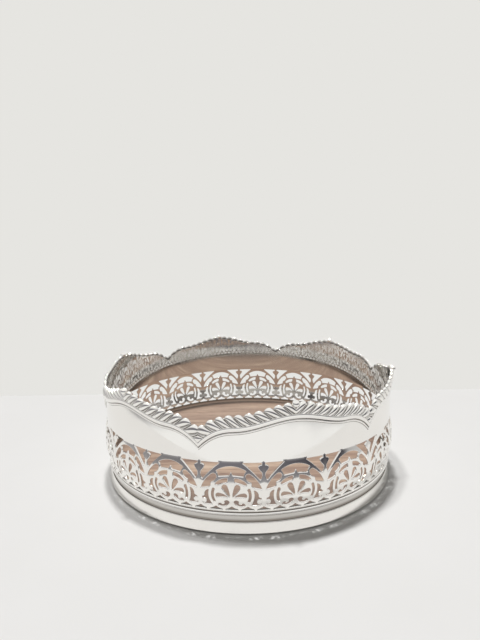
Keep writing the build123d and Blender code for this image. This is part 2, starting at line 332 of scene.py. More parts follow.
def spin_profile(name, profile, closed, recess=()):
    """Spins a profile of radius and height round the axis into a smooth, closed mesh object.

    The recess values, one for each point of the profile, say how much it is darkened there, by tarnish
    and by painted shade.
    """
    segments, weld = 288, 0.01 * MM
    work = bmesh.new()
    tarnish_and_shade = work.verts.layers.float.new("recess")
    ring = [work.verts.new((radius, 0, height)) for radius, height in profile]
    for point, value in zip(ring, recess):
        point[tarnish_and_shade] = value
    pairs = list(zip(ring, ring[1:]))
    if closed:
        pairs.append((ring[-1], ring[0]))
    edges = [work.edges.new(pair) for pair in pairs]
    bmesh.ops.spin(
        work, geom=ring + edges, axis=(0, 0, 1), cent=(0, 0, 0), angle=2 * math.pi, steps=segments
    )
    bmesh.ops.remove_doubles(work, verts=work.verts, dist=weld)
    bmesh.ops.recalc_face_normals(work, faces=work.faces)
    mesh = bpy.data.meshes.new(name)
    work.to_mesh(mesh)
    work.free()
    smooth(mesh, 28)
    return add_object(name, mesh)


def dress(piece, finish, slot, *nodes):
    """Gives a piece its finish, sets it on the frame, and hides the CAD nodes it stands for."""
    piece.data.materials.clear()
    piece.data.materials.append(finish)
    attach(piece, "root")
    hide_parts(*nodes)
    piece.data.calc_loop_triangles()
    print(piece.name, len(piece.data.loop_triangles), "triangles")


# %% [markdown]
# ## The moulded foot and its wire
# From the table up, the foot has a band that leans back, a cove, and an upright strip that carries a
# half-round wire. The wire hides the seam where the pierced wall is soldered on. Dark lines in the cove
# and on both sides of the wire, painted shade mixed with tarnish, are how the eye tells the members
# apart.

# %% Place the foot's members
band_height, cove_height, cove_depth = 7.0 * MM, 5.0 * MM, 1.75 * MM
gallery_inset, band_inset, band_drop = 1.2 * MM, 1.8 * MM, 0.6 * MM
foot_wall, lip_width, lip_thickness = 1.3 * MM, 4.5 * MM, 1.2 * MM
upstand_gap, upstand_thickness, upstand_drop = 0.1 * MM, 0.9 * MM, 0.7 * MM
gallery_foot_radius = neck_radius - gallery_inset
throat_radius = gallery_foot_radius - cove_depth
foot_inner_radius = throat_radius - foot_wall
lip_inner_radius = foot_inner_radius - lip_width
lip_top = foot_bottom + lip_thickness
band_bottom = foot_bottom - band_drop
band_top = foot_bottom + band_height
band_edge = neck_radius - band_inset
cove_top = band_top + cove_height
upstand_outer = gallery_foot_radius - sheet_thickness - upstand_gap
upstand_inner = upstand_outer - upstand_thickness
upstand_top = foot_top - upstand_drop
print(f"band up to {band_top / MM:.1f} mm, cove up to {cove_top / MM:.1f} mm")


# %% Spin the foot ring
def near(radius, height, *offsets):
    """Points of a profile, each given in millimetres from one place on it."""
    return [(radius + out * MM, height + up * MM) for out, up in offsets]


heel = near(neck_radius, band_bottom, (-0.5, 0), (-0.05, 0.15), (0.1, 0.55))
foot_profile = [(lip_inner_radius, band_bottom)] + arc_between(*heel, 6)
# The band leans back so that it mirrors the lit table beyond its own shadow. Each row has its height over
# the heel in millimetres, and the lean below it in degrees.
band_rows = [
    (0.0, 0.0), (0.25, 15.5), (0.75, 15.5), (1.5, 15.0), (3.2, 13.8), (5.0, 12.8), (6.2, 12.5),
    (6.45, 12.5),
]
band_radius, band_foot = heel[-1]
reached = 0.0
for height, lean in band_rows:
    band_radius -= (height - reached) * MM * math.tan(math.radians(lean))
    foot_profile.append((band_radius, band_foot + height * MM))
    reached = height
band_shoulder = near(neck_radius, foot_bottom, (-1.42, 6.55), (-1.57, 6.85)) + [(band_edge, band_top)]
foot_profile += arc_between(*band_shoulder, 5) + [(band_edge, band_top)]
cove = near(band_edge, band_top, (-0.3, 0)) + near(throat_radius, band_top, (0.45, 2.2))
cove += near(throat_radius, cove_top, (0, -0.3))
foot_profile += arc_between(*cove, 12) + [cove[-1]] + near(throat_radius, cove_top, (0.2, 0))
foot_profile += [(gallery_foot_radius, cove_top), (gallery_foot_radius, gallery_foot)]

# Height in millimetres and darkness, painted shade mixed with tarnish: dark lines over the band's top
# edge and on both sides of the wire.
foot_tarnish_and_shade = [
    (0.4, 0.3), (1.0, 0.0), (7.7, 0.0), (8.0, 0.95), (9.0, 0.85), (9.7, 0.5), (11.2, 0.42), (12.0, 0.8),
    (12.7, 0.95), (16.0, 0.95),
]
foot_recess = [np.interp(height / MM, *zip(*foot_tarnish_and_shade)) for _, height in foot_profile]
# The upstand is fully darkened, painted shade mixed with the tarnish of a face never polished, so it
# shows dark through the lowest openings of the wall.
upstand = [
    (upstand_outer, gallery_foot),
    (upstand_outer, upstand_top),
    (upstand_inner, upstand_top),
    (upstand_inner, gallery_foot),
]
lining = [(foot_inner_radius, cove_top), (foot_inner_radius, lip_top), (lip_inner_radius, lip_top)]
foot_recess += [1.0] * len(upstand) + [inside_tarnish] * len(lining)
foot_moulding = spin_profile("foot_moulding", foot_profile + upstand + lining, True, foot_recess)
dress(foot_moulding, silver_plate, "silver_plate", "foot_ring")

# %% Spin the seam wire
wire_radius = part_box("seam_wire")[1].x
wire_gap = 1.1 * MM
wire_top = gallery_foot - wire_gap
wire = [(gallery_foot_radius, cove_top)]
wire += near(wire_radius, cove_top, (0, 0.45)) + near(wire_radius, wire_top, (-0.3, -0.35))
wire_profile = arc_between(*wire, 10) + [wire[-1], (gallery_foot_radius, wire_top)]
# Where the wire meets the strip, a little below and strongly above, it is darkened: painted shade mixed
# with tarnish.
wire_recess = [0.35, 0.1] + [0.0] * (len(wire_profile) - 3) + [0.9]
seam_bead = spin_profile("seam_bead", wire_profile, True, wire_recess)
dress(seam_bead, silver_plate, "silver_plate", "seam_wire")

# %% [markdown]
# ## The board and the baize
# The board is a plain turned disc with an eased upper edge and a rebate below for the foot's lip. Its
# profile starts and ends on the axis, so the spin closes both faces at a pole.

# %% Spin the board and the baize
edge_round, rebate_gap = 1.0 * MM, 0.2 * MM
rebate_radius = lip_inner_radius - rebate_gap
diagonal = math.sqrt(0.5)
eased = edge_round * (1 - diagonal)
board_profile = [(0, baize_thickness), (rebate_radius, baize_thickness), (rebate_radius, lip_top)]
board_profile += [(board_radius, lip_top)]
board_profile += arc_between(
    (board_radius, floor_height - edge_round),
    (board_radius - eased, floor_height - eased),
    (board_radius - edge_round, floor_height),
    6,
)
board_profile += [(board_radius - edge_round, floor_height), (0, floor_height)]
turned_board = spin_profile("turned_board", board_profile, closed=False)
dress(turned_board, mahogany, "mahogany", "base_board")

fuzz_round = 0.4 * MM
baize_profile = [(0, 0), (baize_radius - fuzz_round, 0), (baize_radius, fuzz_round)]
baize_profile += [(baize_radius, baize_thickness), (0, baize_thickness)]
baize_disc = spin_profile("baize_disc", baize_profile, closed=False)
dress(baize_disc, baize, "baize", "baize_pad")

# %% [markdown]
# ## The ornament of one repeat
# The wall is pierced with a fly press: one set of punches, moved round the ring eighteen times. So one
# repeat is drawn flat, as closed outlines, and the rest follows from it. Each outline is a ring of
# corners. A corner carries the point that the arc to the next corner passes through, or None for a line.

# %% Draw the openings of one repeat, in millimetres
repeat_count = 18
palmette_height = 11.9
slot_inner, slot_outer, boot_edge = 11.3, 12.9, 14.9
half_width, spandrel_start, spandrel_top, drawn_height = 20.85, 7.3, 33.4, 35.0
tent_pitch = half_width / 2


def around(radius, degrees):
    """Point on a circle round the palmette's centre."""
    spot = cmath.rect(radius, math.radians(degrees))
    return (spot.real, palmette_height + spot.imag)


def below(inset, drop):
    """Point in from the repeat's right side and down from the plain band."""
    return (half_width - inset, spandrel_top - drop)


upper_petal = [((0.8, 10.6), (3.6, 13.9)), ((5.9, 17.4), (5.0, 19.3)), ((2.5, 18.6), (1.35, 15.0))]
side_petal = [((1.9, 10.3), (4.2, 12.6)), ((7.2, 13.6), (9.9, 12.6)), ((9.0, 10.2), (5.4, 10.8))]
scroll = [
    ((1.5, 6.3), (3.0, 8.3)),
    ((4.7, 7.1), (4.5, 5.6)),
    ((6.3, 5.1), None),
    ((7.4, 6.0), (8.6, 5.2)),
    ((8.9, 4.1), (3.6, 4.0)),
]
side_slot = [
    (around(slot_inner, -25), around(slot_inner, 0)),
    (around(slot_inner, 24), None),
    (around(slot_outer, 24), around(slot_outer, 0)),
    (around(slot_outer, -25), None),
]
upper_slot = [
    (around(slot_inner, 37), around(9.9, 58)),
    (around(9.4, 75), None),
    (around(12.1, 80), around(12.7, 60)),
    (around(slot_outer, 37), None),
]
side_crescent = [
    (around(20.1, 12.5), around(19.5, 31)),
    (around(18.9, 47.5), around(18.0, 54)),
    (around(16.3, 55), None),
    (around(15.1, 51), None),
    (around(14.6, 42), None),
    (around(15.8, 33), around(14.9, 26)),
    (around(16.2, 19.5), None),
]
top_crescent = [
    ((9.7, 28.2), (0.0, 31.3)),
    ((-9.7, 28.2), (-8.75, 27.0)),
    ((-8.0, 24.7), (-4.6, 25.1)),
    ((-1.2, 25.4), None),
    ((0.0, 27.8), None),
    ((1.2, 25.4), (4.6, 25.1)),
    ((8.0, 24.7), (8.75, 27.0)),
]
spandrel = [
    ((spandrel_start, spandrel_top), None),
    (below(1.25, 0), None),
    (below(0.95, 1.2), below(2.55, 1.6)),
    (below(3.65, 2.6), below(2.95, 4.2)),
    (below(1.35, 6.0), below(1.05, 8.0)),
    (around(21.4, 29.5), around(21.0, 47)),
]
boot = [
    (around(boot_edge, 15), (16.7, 14.3)),
    ((17.2, 11.6), (17.9, 10.5)),
    ((19.1, 10.2), None),
    ((19.1, 8.4), (16.2, 7.1)),
    ((19.3, 5.8), (18.9, 4.9)),
    ((17.6, 4.4), None),
    ((12.6, 4.2), around(boot_edge, -6)),
]
tent = [
    ((-4.1, 0.65), None),
    ((-4.1, 1.45), (-1.7, 2.3)),
    ((0.0, 3.45), (1.7, 2.3)),
    ((4.1, 1.45), None),
    ((4.1, 0.65), None),
]


def moved(outline, flip=1, shift=0.0):
    """An outline mirrored left to right or moved sideways."""
    return [
        ((flip * x + shift, y), None if via is None else (flip * via[0] + shift, via[1]))
        for (x, y), via in outline
    ]


paired = (upper_petal, side_petal, scroll, side_slot, upper_slot, side_crescent, spandrel, boot)
outlines = [moved(outline, flip) for outline in paired for flip in (1, -1)]
outlines += [top_crescent] + [moved(tent, 1, place * tent_pitch) for place in (-2, -1, 0, 1)]
print(len(outlines), "openings in one repeat")

# %% [markdown]
# ## From outlines to a flat pierced sheet
# A 2D curve object could fill these outlines and bevel them, but its fill has long thin triangles that
# shade badly once the sheet is bent. Here each outline is traced as points, its corners are softened as
# a worn punch leaves them, and rings of points round the cut edge over. The face between the rings is a
# Delaunay triangulation with a sprinkle of points inside, so its triangles stay short.


# %% Trace the outlines and round the cut edges
def divide(line, step):
    """Adds evenly spaced points to an open run of corners, without the last corner."""
    spots = []
    for start, end in zip(line, line[1:]):
        count = max(1, round(abs(end - start) / step))
        spots += [start + (end - start) * n / count for n in range(count)]
    return spots


def trace(outline, step=1.2, widest_turn=0.57):
    """Points along an outline as complex numbers, anticlockwise, with softened corners."""
    spots = []
    for (start, via), (end, _) in zip(outline, outline[1:] + outline[:1]):
        first, last = complex(*start), complex(*end)
        if via is None:
            spots += divide([first, last], step)
        else:
            reach = abs(complex(*via) - first) + abs(last - complex(*via))
            bend = 4 * math.acos(min(1.0, abs(last - first) / reach))
            count = max(2, math.ceil(bend / widest_turn), round(reach / step))
            spots += [complex(*spot) for spot in arc_between(start, via, end, count)]
    # Putting two points on each side, a quarter in from its ends, cuts every corner off.
    line = np.array(spots)
    after = np.roll(line, -1)
    line = np.column_stack((0.75 * line + 0.25 * after, 0.25 * line + 0.75 * after)).ravel()
    area = np.sum(line.conj() * np.roll(line, -1)).imag
    return line if area > 0 else line[::-1]


def outward(line, reach, longest=1.7, side_share=0.4):
    """Offset direction of each point of an anticlockwise ring, away from its inside.

    Where metal juts into the opening, the offset is held back so that a point's two sides can't cross.
    """
    side = np.roll(line, -1) - line
    length = np.minimum(abs(side), abs(np.roll(side, 1)))
    side = side / abs(side)
    before = np.roll(side, 1)
    bend = side * before.conj()
    both = -1j * (side + before) / (1 + bend.real)
    both *= np.minimum(1, longest / abs(both))
    juts = -bend.imag / (1 + bend.real)
    limit = np.where(juts > 0, side_share * length / np.maximum(juts, 1e-6), reach)
    return both * np.minimum(1, limit / reach)


bevel, back_bevel, sheet = 0.38, 0.2, sheet_thickness / MM
rings = [trace(outline) for outline in outlines]
ring_out = [outward(ring, bevel) for ring in rings]
# Each ring of points round an opening: how far into the metal, how deep, and how far the surface turns.
edge_steps = [
    (bevel, 0, 0),
    (bevel * (1 - diagonal), bevel * (1 - diagonal), math.pi / 4),
    (0, bevel, math.pi / 2),
    (0, sheet - back_bevel, math.pi / 2),
    (back_bevel, sheet, math.pi),
]
print(sum(len(ring) for ring in rings), "points round the openings")

# %% [markdown]
# The repeat's own border steps round the tents, so that no opening is cut by it and the left side fits
# the right side of the next repeat.

# %% Draw the repeat's border and the points inside it
seam_x = 1.5 * tent_pitch
corners = [(seam_x, 0), (seam_x, 2.9), (half_width, 4.45), (half_width, drawn_height)]
right_side = np.array([complex(*corner) for corner in corners])
left_side = (right_side - 2 * half_width)[::-1]


def border_points(step=1.4):
    """The repeat's border, anticlockwise from the lower left."""
    right = divide(right_side, step)
    top = divide([right_side[-1], left_side[0]], step)
    left = [spot - 2 * half_width for spot in reversed(right[1:] + [right_side[-1]])]
    bottom = divide([left_side[-1], right_side[0]], step)
    return np.array(bottom + right + top + left)


def encloses(ring, spots):
    """Which spots lie inside a ring."""
    here, there = ring[None, :], np.roll(ring, -1)[None, :]
    spot = spots[:, None]
    spans = (here.imag > spot.imag) != (there.imag > spot.imag)
    rise = np.where(there.imag == here.imag, 1, there.imag - here.imag)
    left = spot.real < (there.real - here.real) * (spot.imag - here.imag) / rise + here.real
    return (spans & left).sum(axis=1) % 2 == 1


def in_metal(spots):
    """Which spots lie inside the border and outside every opening."""
    inside = encloses(border, spots)
    for ring in grown:
        inside &= ~encloses(ring, spots)
    return inside


border = border_points()
grown = [ring + bevel * out for ring, out in zip(rings, ring_out)]
edge_spots = np.concatenate(grown + [border])
# Rows lie closer than columns, so that the points make nearly even-sided triangles.
grid_step = 1.9
row_step = grid_step * 0.87
edge_gap = 0.45 * grid_step
grid_columns = range(
    math.floor(border.real.min() / grid_step), math.ceil(border.real.max() / grid_step)
)
grid = np.array(
    [
        complex(column * grid_step + (row % 2) * grid_step / 2, row * row_step)
        for row in range(1, round(drawn_height / row_step))
        for column in grid_columns
    ]
)
clear = abs(grid[:, None] - edge_spots[None, :]).min(axis=1) > edge_gap
spots = np.concatenate((edge_spots, grid[in_metal(grid) & clear]))
print(len(spots), "points in the flat face")

# %% Triangulate the flat face
edges = []
start = 0
for ring in grown + [border]:
    count = len(ring)
    edges += [(start + n, start + (n + 1) % count) for n in range(count)]
    start += count
filled = delaunay_2d_cdt([Vector((spot.real, spot.imag)) for spot in spots], edges, [], 0, 1e-6)
triangles = np.array([[filled[3][corner][0] for corner in face] for face in filled[2]])
face_triangles = triangles[in_metal(spots[triangles].mean(axis=1))]
first, second, third = (spots[face_triangles[:, corner]] for corner in range(3))
turned = ((second - first).conj() * (third - first)).imag < 0
face_triangles[turned] = face_triangles[turned][:, ::-1]
print(len(face_triangles), "triangles in the flat face")

# %% [markdown]
# The flat sheet is the face, the same face turned over for the back, and strips of quads down each cut
# edge. Every point also stores the direction its surface looks in, which later gives mirror-smooth
# shading that doesn't depend on the triangles.

# %% Assemble the flat repeat
ring_count = sum(len(ring) for ring in rings)
ring_line = np.concatenate(rings)
ring_normal = np.concatenate(ring_out)
places, looks = [], []


def add_layer(line, depth, direction, turn):
    """Adds one layer of points at a depth below the face, with the way that the surface looks there."""
    places.append(np.column_stack((line.real, line.imag, np.full(len(line), -depth))))
    towards = -direction / np.maximum(abs(direction), 1e-9)
    flat = np.sin(turn) * towards
    looks.append(np.column_stack((flat.real, flat.imag, np.full(len(line), np.cos(turn)))))


def store(mesh, word, values):
    """Stores one number for each point of a mesh, as an attribute that materials and trees can read."""
    mesh.attributes.new(word, "FLOAT", "POINT").data.foreach_set("value", np.array(values, np.float32))


quiet = np.ones(len(spots), complex)
back_spots = np.concatenate((ring_line + back_bevel * ring_normal, spots[ring_count:]))
add_layer(spots, 0, quiet, 0)
add_layer(back_spots, sheet, quiet, math.pi)
layer_starts = [0]
for inset, depth, turn in edge_steps[1:-1]:
    layer_starts.append(sum(len(layer) for layer in places))
    add_layer(ring_line + inset * ring_normal, depth, ring_normal, turn)
layer_starts.append(len(spots))

faces = [tuple(face) for face in face_triangles]
faces += [tuple(len(spots) + corner for corner in face[::-1]) for face in face_triangles]
start = 0
for ring in rings:
    for n in range(len(ring)):
        here, there = start + n, start + (n + 1) % len(ring)
        for upper, lower in zip(layer_starts, layer_starts[1:]):
            faces.append((upper + here, upper + there, lower + there, lower + here))
    start += len(ring)
for n in range(len(border)):
    here, there = ring_count + n, ring_count + (n + 1) % len(border)
    if spots[here].imag == spots[there].imag and spots[here].imag in (0, drawn_height):
        faces.append((here, len(spots) + here, len(spots) + there, there))

flat_repeat = bpy.data.meshes.new("flat_repeat")
flat_repeat.from_pydata(np.concatenate(places) * MM, [], faces)
look = flat_repeat.attributes.new("look", "FLOAT_VECTOR", "POINT")
look.data.foreach_set("vector", np.concatenate(looks).astype(np.float32).ravel())
depths = -np.concatenate(places)[:, 2]
store(flat_repeat, "recess", np.interp(depths, (bevel, sheet), (0, inside_tarnish)))
print(len(flat_repeat.vertices), "points and", len(flat_repeat.polygons), "faces in one repeat")

# %% [markdown]
# ## Bending and repeating the sheet with Geometry Nodes
# The real wall is cut flat, bent round and bellied on a stake. A Geometry Nodes tree does the same: it
# bends the repeat onto the belly, sets copies round the axis, realises them and welds the seams. A field
# is a formula for every point, so a helper turns a written formula into Math nodes, one for each step.
# Over a large opening the sheet is weak, so it folds upright at the opening's top edge, a little lower
# than over the arches. The formulas lift that short stretch too.


# %% Turn written formulas into nodes
STEPS = {ast.Add: "ADD", ast.Sub: "SUBTRACT", ast.Mult: "MULTIPLY", ast.Div: "DIVIDE", ast.Pow: "POWER"}
CALLS = {
    "cos": "COSINE", "sin": "SINE", "min": "MINIMUM", "max": "MAXIMUM", "atan2": "ARCTAN2",
    "frac": "FRACT",
}


def formula(tree, text, **fields):
    """Adds a node for each step of a written formula, and returns the last one's output."""

    def build(part):
        if isinstance(part, ast.Constant):
            return part.value
        if isinstance(part, ast.Name):
            return fields[part.id]
        if isinstance(part, ast.BinOp):
            operation, terms = STEPS[type(part.op)], (part.left, part.right)
        else:
            operation, terms = CALLS[part.func.id], part.args
        inputs = {number: build(term) for number, term in enumerate(terms)}
        return add_node(tree, "ShaderNodeMath", inputs, operation=operation).outputs[0]

    return build(ast.parse(text).body[0].value)


# %% Start, finish and run a tree
def new_tree(name, sizes):
    """A tree with a mesh, a finish and named sizes as its inputs. Returns it and its inputs."""
    tree = bpy.data.node_groups.new(name, "GeometryNodeTree")
    tree.interface.new_socket("mesh", in_out="OUTPUT", socket_type="NodeSocketGeometry")
    tree.interface.new_socket("mesh", in_out="INPUT", socket_type="NodeSocketGeometry")
    tree.interface.new_socket("finish", in_out="INPUT", socket_type="NodeSocketMaterial")
    for size in sizes:
        tree.interface.new_socket(size, in_out="INPUT", socket_type="NodeSocketFloat")
    inputs = add_node(tree, "NodeGroupInput").outputs
    return tree, {socket.name: socket for socket in inputs if socket.name}


def set_round_axis(tree, mesh, steps, fields):
    """Works out written steps, then moves a mesh's points to the radius, turn and height they give."""
    for word, text in steps.items():
        fields[word] = formula(tree, text, **fields)
    parts = {
        "X": formula(tree, "radius * cos(turn)", **fields),
        "Y": formula(tree, "radius * sin(turn)", **fields),
        "Z": fields["height"],
    }
    place = add_node(tree, "ShaderNodeCombineXYZ", parts).outputs[0]
    return add_node(tree, "GeometryNodeSetPosition", {"Geometry": mesh, "Position": place}).outputs[0]


def finish_tree(tree, geometry, weld, finish):
    """Ends a tree: makes copies real, welds points that meet, and sets the material."""
    closing = {
        "GeometryNodeRealizeInstances": {},
        "GeometryNodeMergeByDistance": {"Distance": weld},
        "GeometryNodeSetMaterial": {"Material": finish},
    }
    for kind, inputs in closing.items():
        geometry = add_node(tree, kind, dict(inputs, Geometry=geometry)).outputs[0]
    add_node(tree, "NodeGroupOutput", {0: geometry})
    print(tree.name, "has", len(tree.nodes), "nodes")


def run_tree(name, mesh, tree, values):
    """Runs a tree on a mesh and returns the result as a plain mesh object at the origin."""
    piece = add_object(name, mesh)
    modifier = piece.modifiers.new(tree.name, "NODES")
    modifier.node_group = tree
    for socket in tree.interface.items_tree:
        if socket.in_out == "INPUT" and socket.name in values:
            modifier[socket.identifier] = values[socket.name]
    evaluated = piece.evaluated_get(bpy.context.evaluated_depsgraph_get())
    result = bpy.data.meshes.new_from_object(evaluated)
    piece.modifiers.remove(modifier)
    piece.data = result
    result.name = name
    return piece


# %% Bend the repeat onto the belly and set it round the axis
belly_height = 15.0 * MM
belly_sizes = {
    "half_width": half_width * MM,
    "half_turn": math.pi / repeat_count,
    "foot_height": gallery_foot,
    "belly_radius": belly_radius,
    "belly_height": belly_height,
    "upper_height": gallery_height - belly_height,
    "upper_fall": belly_radius - neck_radius,
    "lower_fall": 2.6 * MM,
    "front_angle": front_angle,
    "lift": (drawn_height - spandrel_top) * MM,
    "lift_start": spandrel_start * MM,
    "lift_end": 20.2 * MM,
    "ease": 0.9 * MM,
    "repeats": float(repeat_count),
}
belly_steps = {
    "turn": "front_angle + x / half_width * half_turn",
    "along": "max(x, 0 - x)",
    "over": "min(max((along - lift_start) / ease, 0), 1) * min(max((lift_end - along) / ease, 0), 1)",
    "up": "min(max(y - belly_height, 0) / (upper_height - lift * over), 1)",
    "down": "max(belly_height - y, 0) / belly_height",
    "radius": "belly_radius + z - upper_fall * up * up - lower_fall * (0.5 - 0.5 * cos(pi * down))",
    "height": "foot_height + y",
}
belly_tree, sizes = new_tree("belly_and_repeat", belly_sizes)
position = add_node(belly_tree, "GeometryNodeInputPosition").outputs[0]
drawn = add_node(belly_tree, "ShaderNodeSeparateXYZ", {0: position}).outputs
fields = dict(sizes, x=drawn["X"], y=drawn["Y"], z=drawn["Z"], pi=math.pi)
bent = set_round_axis(belly_tree, sizes["mesh"], belly_steps, fields)
points = add_node(belly_tree, "GeometryNodePoints", {"Count": sizes["repeats"]})
index = add_node(belly_tree, "GeometryNodeInputIndex").outputs[0]
turn = formula(belly_tree, "2 * half_turn * index", index=index, **sizes)
rotation = add_node(belly_tree, "ShaderNodeCombineXYZ", {"Z": turn})
copies = add_node(
    belly_tree,
    "GeometryNodeInstanceOnPoints",
    {"Points": points.outputs[0], "Instance": bent, "Rotation": rotation.outputs[0]},
)
seam_weld = 0.002 * MM
finish_tree(belly_tree, copies.outputs[0], seam_weld, sizes["finish"])
gallery = run_tree("pierced_wall", flat_repeat, belly_tree, dict(belly_sizes, finish=silver_plate))
print("gallery", [round(side / MM, 1) for side in gallery.dimensions], "mm")

# %% [markdown]
# The stored directions now bend with the sheet: at each point the flat sideways, upward and outward
# directions become the tangent round the ring, the tangent up the belly and the belly's own normal.


# %% Give the wall its mirror-smooth normals
def belly_normals(mesh, fold_margin=0.05 * MM):
    """Bends the stored flat directions of a mesh onto the belly, up to just under the fold."""
    count = len(mesh.vertices)
    place, look = np.zeros(count * 3), np.zeros(count * 3)
    mesh.vertices.foreach_get("co", place)
    mesh.attributes["look"].data.foreach_get("vector", look)
    place, look = place.reshape(-1, 3), look.reshape(-1, 3)
    turn = np.arctan2(place[:, 1], place[:, 0])
    size = belly_sizes
    turns = (turn - front_angle) / (2 * size["half_turn"])
    along = abs(turns - np.round(turns)) * 2 * size["half_width"]
    over = np.clip((along - size["lift_start"]) / size["ease"], 0, 1)
    over *= np.clip((size["lift_end"] - along) / size["ease"], 0, 1)
    rise = place[:, 2] - gallery_foot - belly_height
    reach = size["upper_height"] - size["lift"] * over
    upper = np.where(rise < reach - fold_margin, -2 * size["upper_fall"] * rise / reach**2, 0)
    down = -rise / belly_height
    lower = size["lower_fall"] * math.pi / 2 * np.sin(math.pi * down) / belly_height
    slope = np.where(rise > 0, upper, lower)
    level = 1 / np.sqrt(1 + slope**2)
    zero = np.zeros(count)
    round_wall = np.column_stack((-np.sin(turn), np.cos(turn), zero))
    up_wall = np.column_stack((slope * np.cos(turn), slope * np.sin(turn), zero + 1)) * level[:, None]
    off_wall = np.column_stack((np.cos(turn), np.sin(turn), -slope)) * level[:, None]
    return look[:, :1] * round_wall + look[:, 1:2] * up_wall + look[:, 2:] * off_wall


gallery.data.shade_smooth()
gallery.data.normals_split_custom_set_from_vertices(belly_normals(gallery.data))
gallery.data.attributes.remove(gallery.data.attributes["look"])
dress(gallery, silver_plate, "silver_plate", "pierced_gallery")

# %% [markdown]
# ## The rim line
# Six scallops make the rim. Each is a low hump over the middle, level shoulders, and a fall to a pointed
# valley. Two formulas say it, one for the hump and one for the fall, at a share of the half scallop that
# is 0 at the peak and 1 at the valley. The collar's edge and the border both follow them.

# %% Write the rim line
shoulder = crease + 19.5 * MM
border_height = 10.8 * MM
hump_height, hump_reach = 7.0 * MM, 0.65
beak_start, beak_power = 0.60, 2.36
beak_drop, valley_drop = 11.2 * MM, 8.8 * MM
rim_overhang = 2.9 * MM
thread_height, thread_drop = 5.5 * MM, 2.5 * MM


def rim_top(share):
    """Height of the border's upper edge."""
    hump = hump_height / 2 * (1 + np.cos(np.pi * np.minimum(share / hump_reach, 1)))
    fall = np.maximum(0, (share - beak_start) / (1 - beak_start)) ** beak_power
    return shoulder + border_height + hump - valley_drop * fall


print(f"peak at {rim_top(0.0) / MM:.1f} mm, valley at {rim_top(1.0) / MM:.1f} mm")

# %% [markdown]
# ## The plain collar
# Above the crease the sheet stands upright and plain, so it reflects the table as one calm white band.
# It is a thin ring whose upper edge follows the rim line, just under the border. A grid of points, closed
# round its section and round the axis, is all it needs.


# %% Build the collar
def grid_faces(count, loop, closed):
    """Quads between columns of points, where each column is a closed loop of rows."""
    faces = []
    for column in range(count if closed else count - 1):
        here, there = column * loop, (column + 1) % count * loop
        for row in range(loop):
            after = (row + 1) % loop
            faces.append((here + row, there + row, there + after, here + after))
    return faces


def collar_mesh(name, segments=720, rows=6):
    """The collar as a closed ring: up the outside, over the edge and down the inside."""
    turn = np.linspace(0, 2 * np.pi, segments, endpoint=False)
    from_peak = (turn - front_angle) % scallop_angle
    share = np.minimum(from_peak, scallop_angle - from_peak) / (scallop_angle / 2)
    edge = rim_top(share) - rim_overhang
    climb = np.linspace(0, 1, rows)
    heights = crease + np.outer(edge - crease, np.concatenate((climb, climb[::-1])))
    radii = np.repeat((neck_radius, neck_radius - sheet_thickness), rows)
    place = np.stack((np.outer(np.cos(turn), radii), np.outer(np.sin(turn), radii), heights), axis=-1)
    mesh = bpy.data.meshes.new(name)
    mesh.from_pydata(place.reshape(-1, 3), [], grid_faces(segments, 2 * rows, True))
    store(mesh, "recess", np.tile(np.repeat((0.0, inside_tarnish), rows), segments))
    smooth(mesh, 40)
    return mesh


collar = add_object("upright_collar", collar_mesh("upright_collar"))
dress(collar, silver_plate, "silver_plate", "plain_collar")

# %% [markdown]
# ## The gadroon border
# A gadroon is a row of bold convex lobes. Here each lobe has a fat rounded head at the top and a tail
# that sweeps down towards the peak. Between the lobes lie thin fillets, broader between the tails than
# between the heads. The tails end on a plain rounded thread, with a fine reed under it. The lobes are
# mirrored about each peak and meet in a mitre at each valley, with a small ball and leaf at the peak.
#
# Sculpting every lobe would never look even. Instead a strip of points is laid out in the border's own
# terms, with lobe number along and section up, and a tree then sets it on the rim line. The columns
# of the strip follow the grooves, so each groove stays a clean line however it sweeps.

# %% Lay out the columns in lobe numbers
lobes_per_half, leaf_half = 10, 0.38
fillet_share, fillet_head_share, fillet_height, fillet_power = 0.34, 0.08, 0.6, 0.8
sweep, sweep_power = 0.95, 1.3
leaf_columns, lobe_columns, fillet_columns = 4, 12, 6
last_lobe = math.ceil(lobes_per_half + sweep - leaf_half)


def across_rib(start, end, count):
    """Column places across one rounded rib, closer together near its edges."""
    turns = np.linspace(-1, 1, count + 1)[:-1]
    return start + (end - start) * (0.5 + 0.25 * (np.sin(turns * np.pi / 2) + turns))


columns = [leaf_half * np.sin(np.linspace(0, np.pi / 2, leaf_columns + 1)[:-1])]
for lobe in range(last_lobe):
    start = leaf_half + lobe
    columns.append(across_rib(start, start + 1 - fillet_share, lobe_columns))
    columns.append(across_rib(start + 1 - fillet_share, start + 1, fillet_columns))
columns = np.concatenate(columns + [[leaf_half + last_lobe]])
print(len(columns), "columns in half a section")


# %% Shape the ribs
def rib(across):
    """Height of a round rib at a place across it, from -1 to 1."""
    return np.sqrt(np.maximum(0, 1 - across**2))


def fillet_widths(climb):
    """Width of the fillets as a share of the pitch, from the tails up to the heads."""
    return fillet_share + (fillet_head_share - fillet_share) * climb**fillet_power


def spread(column, width):
    """Lobe number of a column where the fillets have this width."""
    across = (column - leaf_half) % 1.0
    lobe = across * (1 - width) / (1 - fillet_share)
    fillet = 1 - (1 - across) * width / fillet_share
    moved_to = column - across + np.where(across < 1 - fillet_share, lobe, fillet)
    return np.where(column < leaf_half, column, moved_to)


def rib_heights(phase, width):
    """Height of the ribs at a lobe number: the leaf, then a broad lobe and a thin fillet by turns."""
    across = (phase - leaf_half) % 1.0
    lobe = rib(2 * across / (1 - width) - 1)
    fillet = fillet_height * width / fillet_share * rib(2 * (across - 1) / width + 1)
    ribs = np.where(across < 1 - width, lobe, fillet)
    return np.where(phase < leaf_half, rib(phase / leaf_half), ribs)
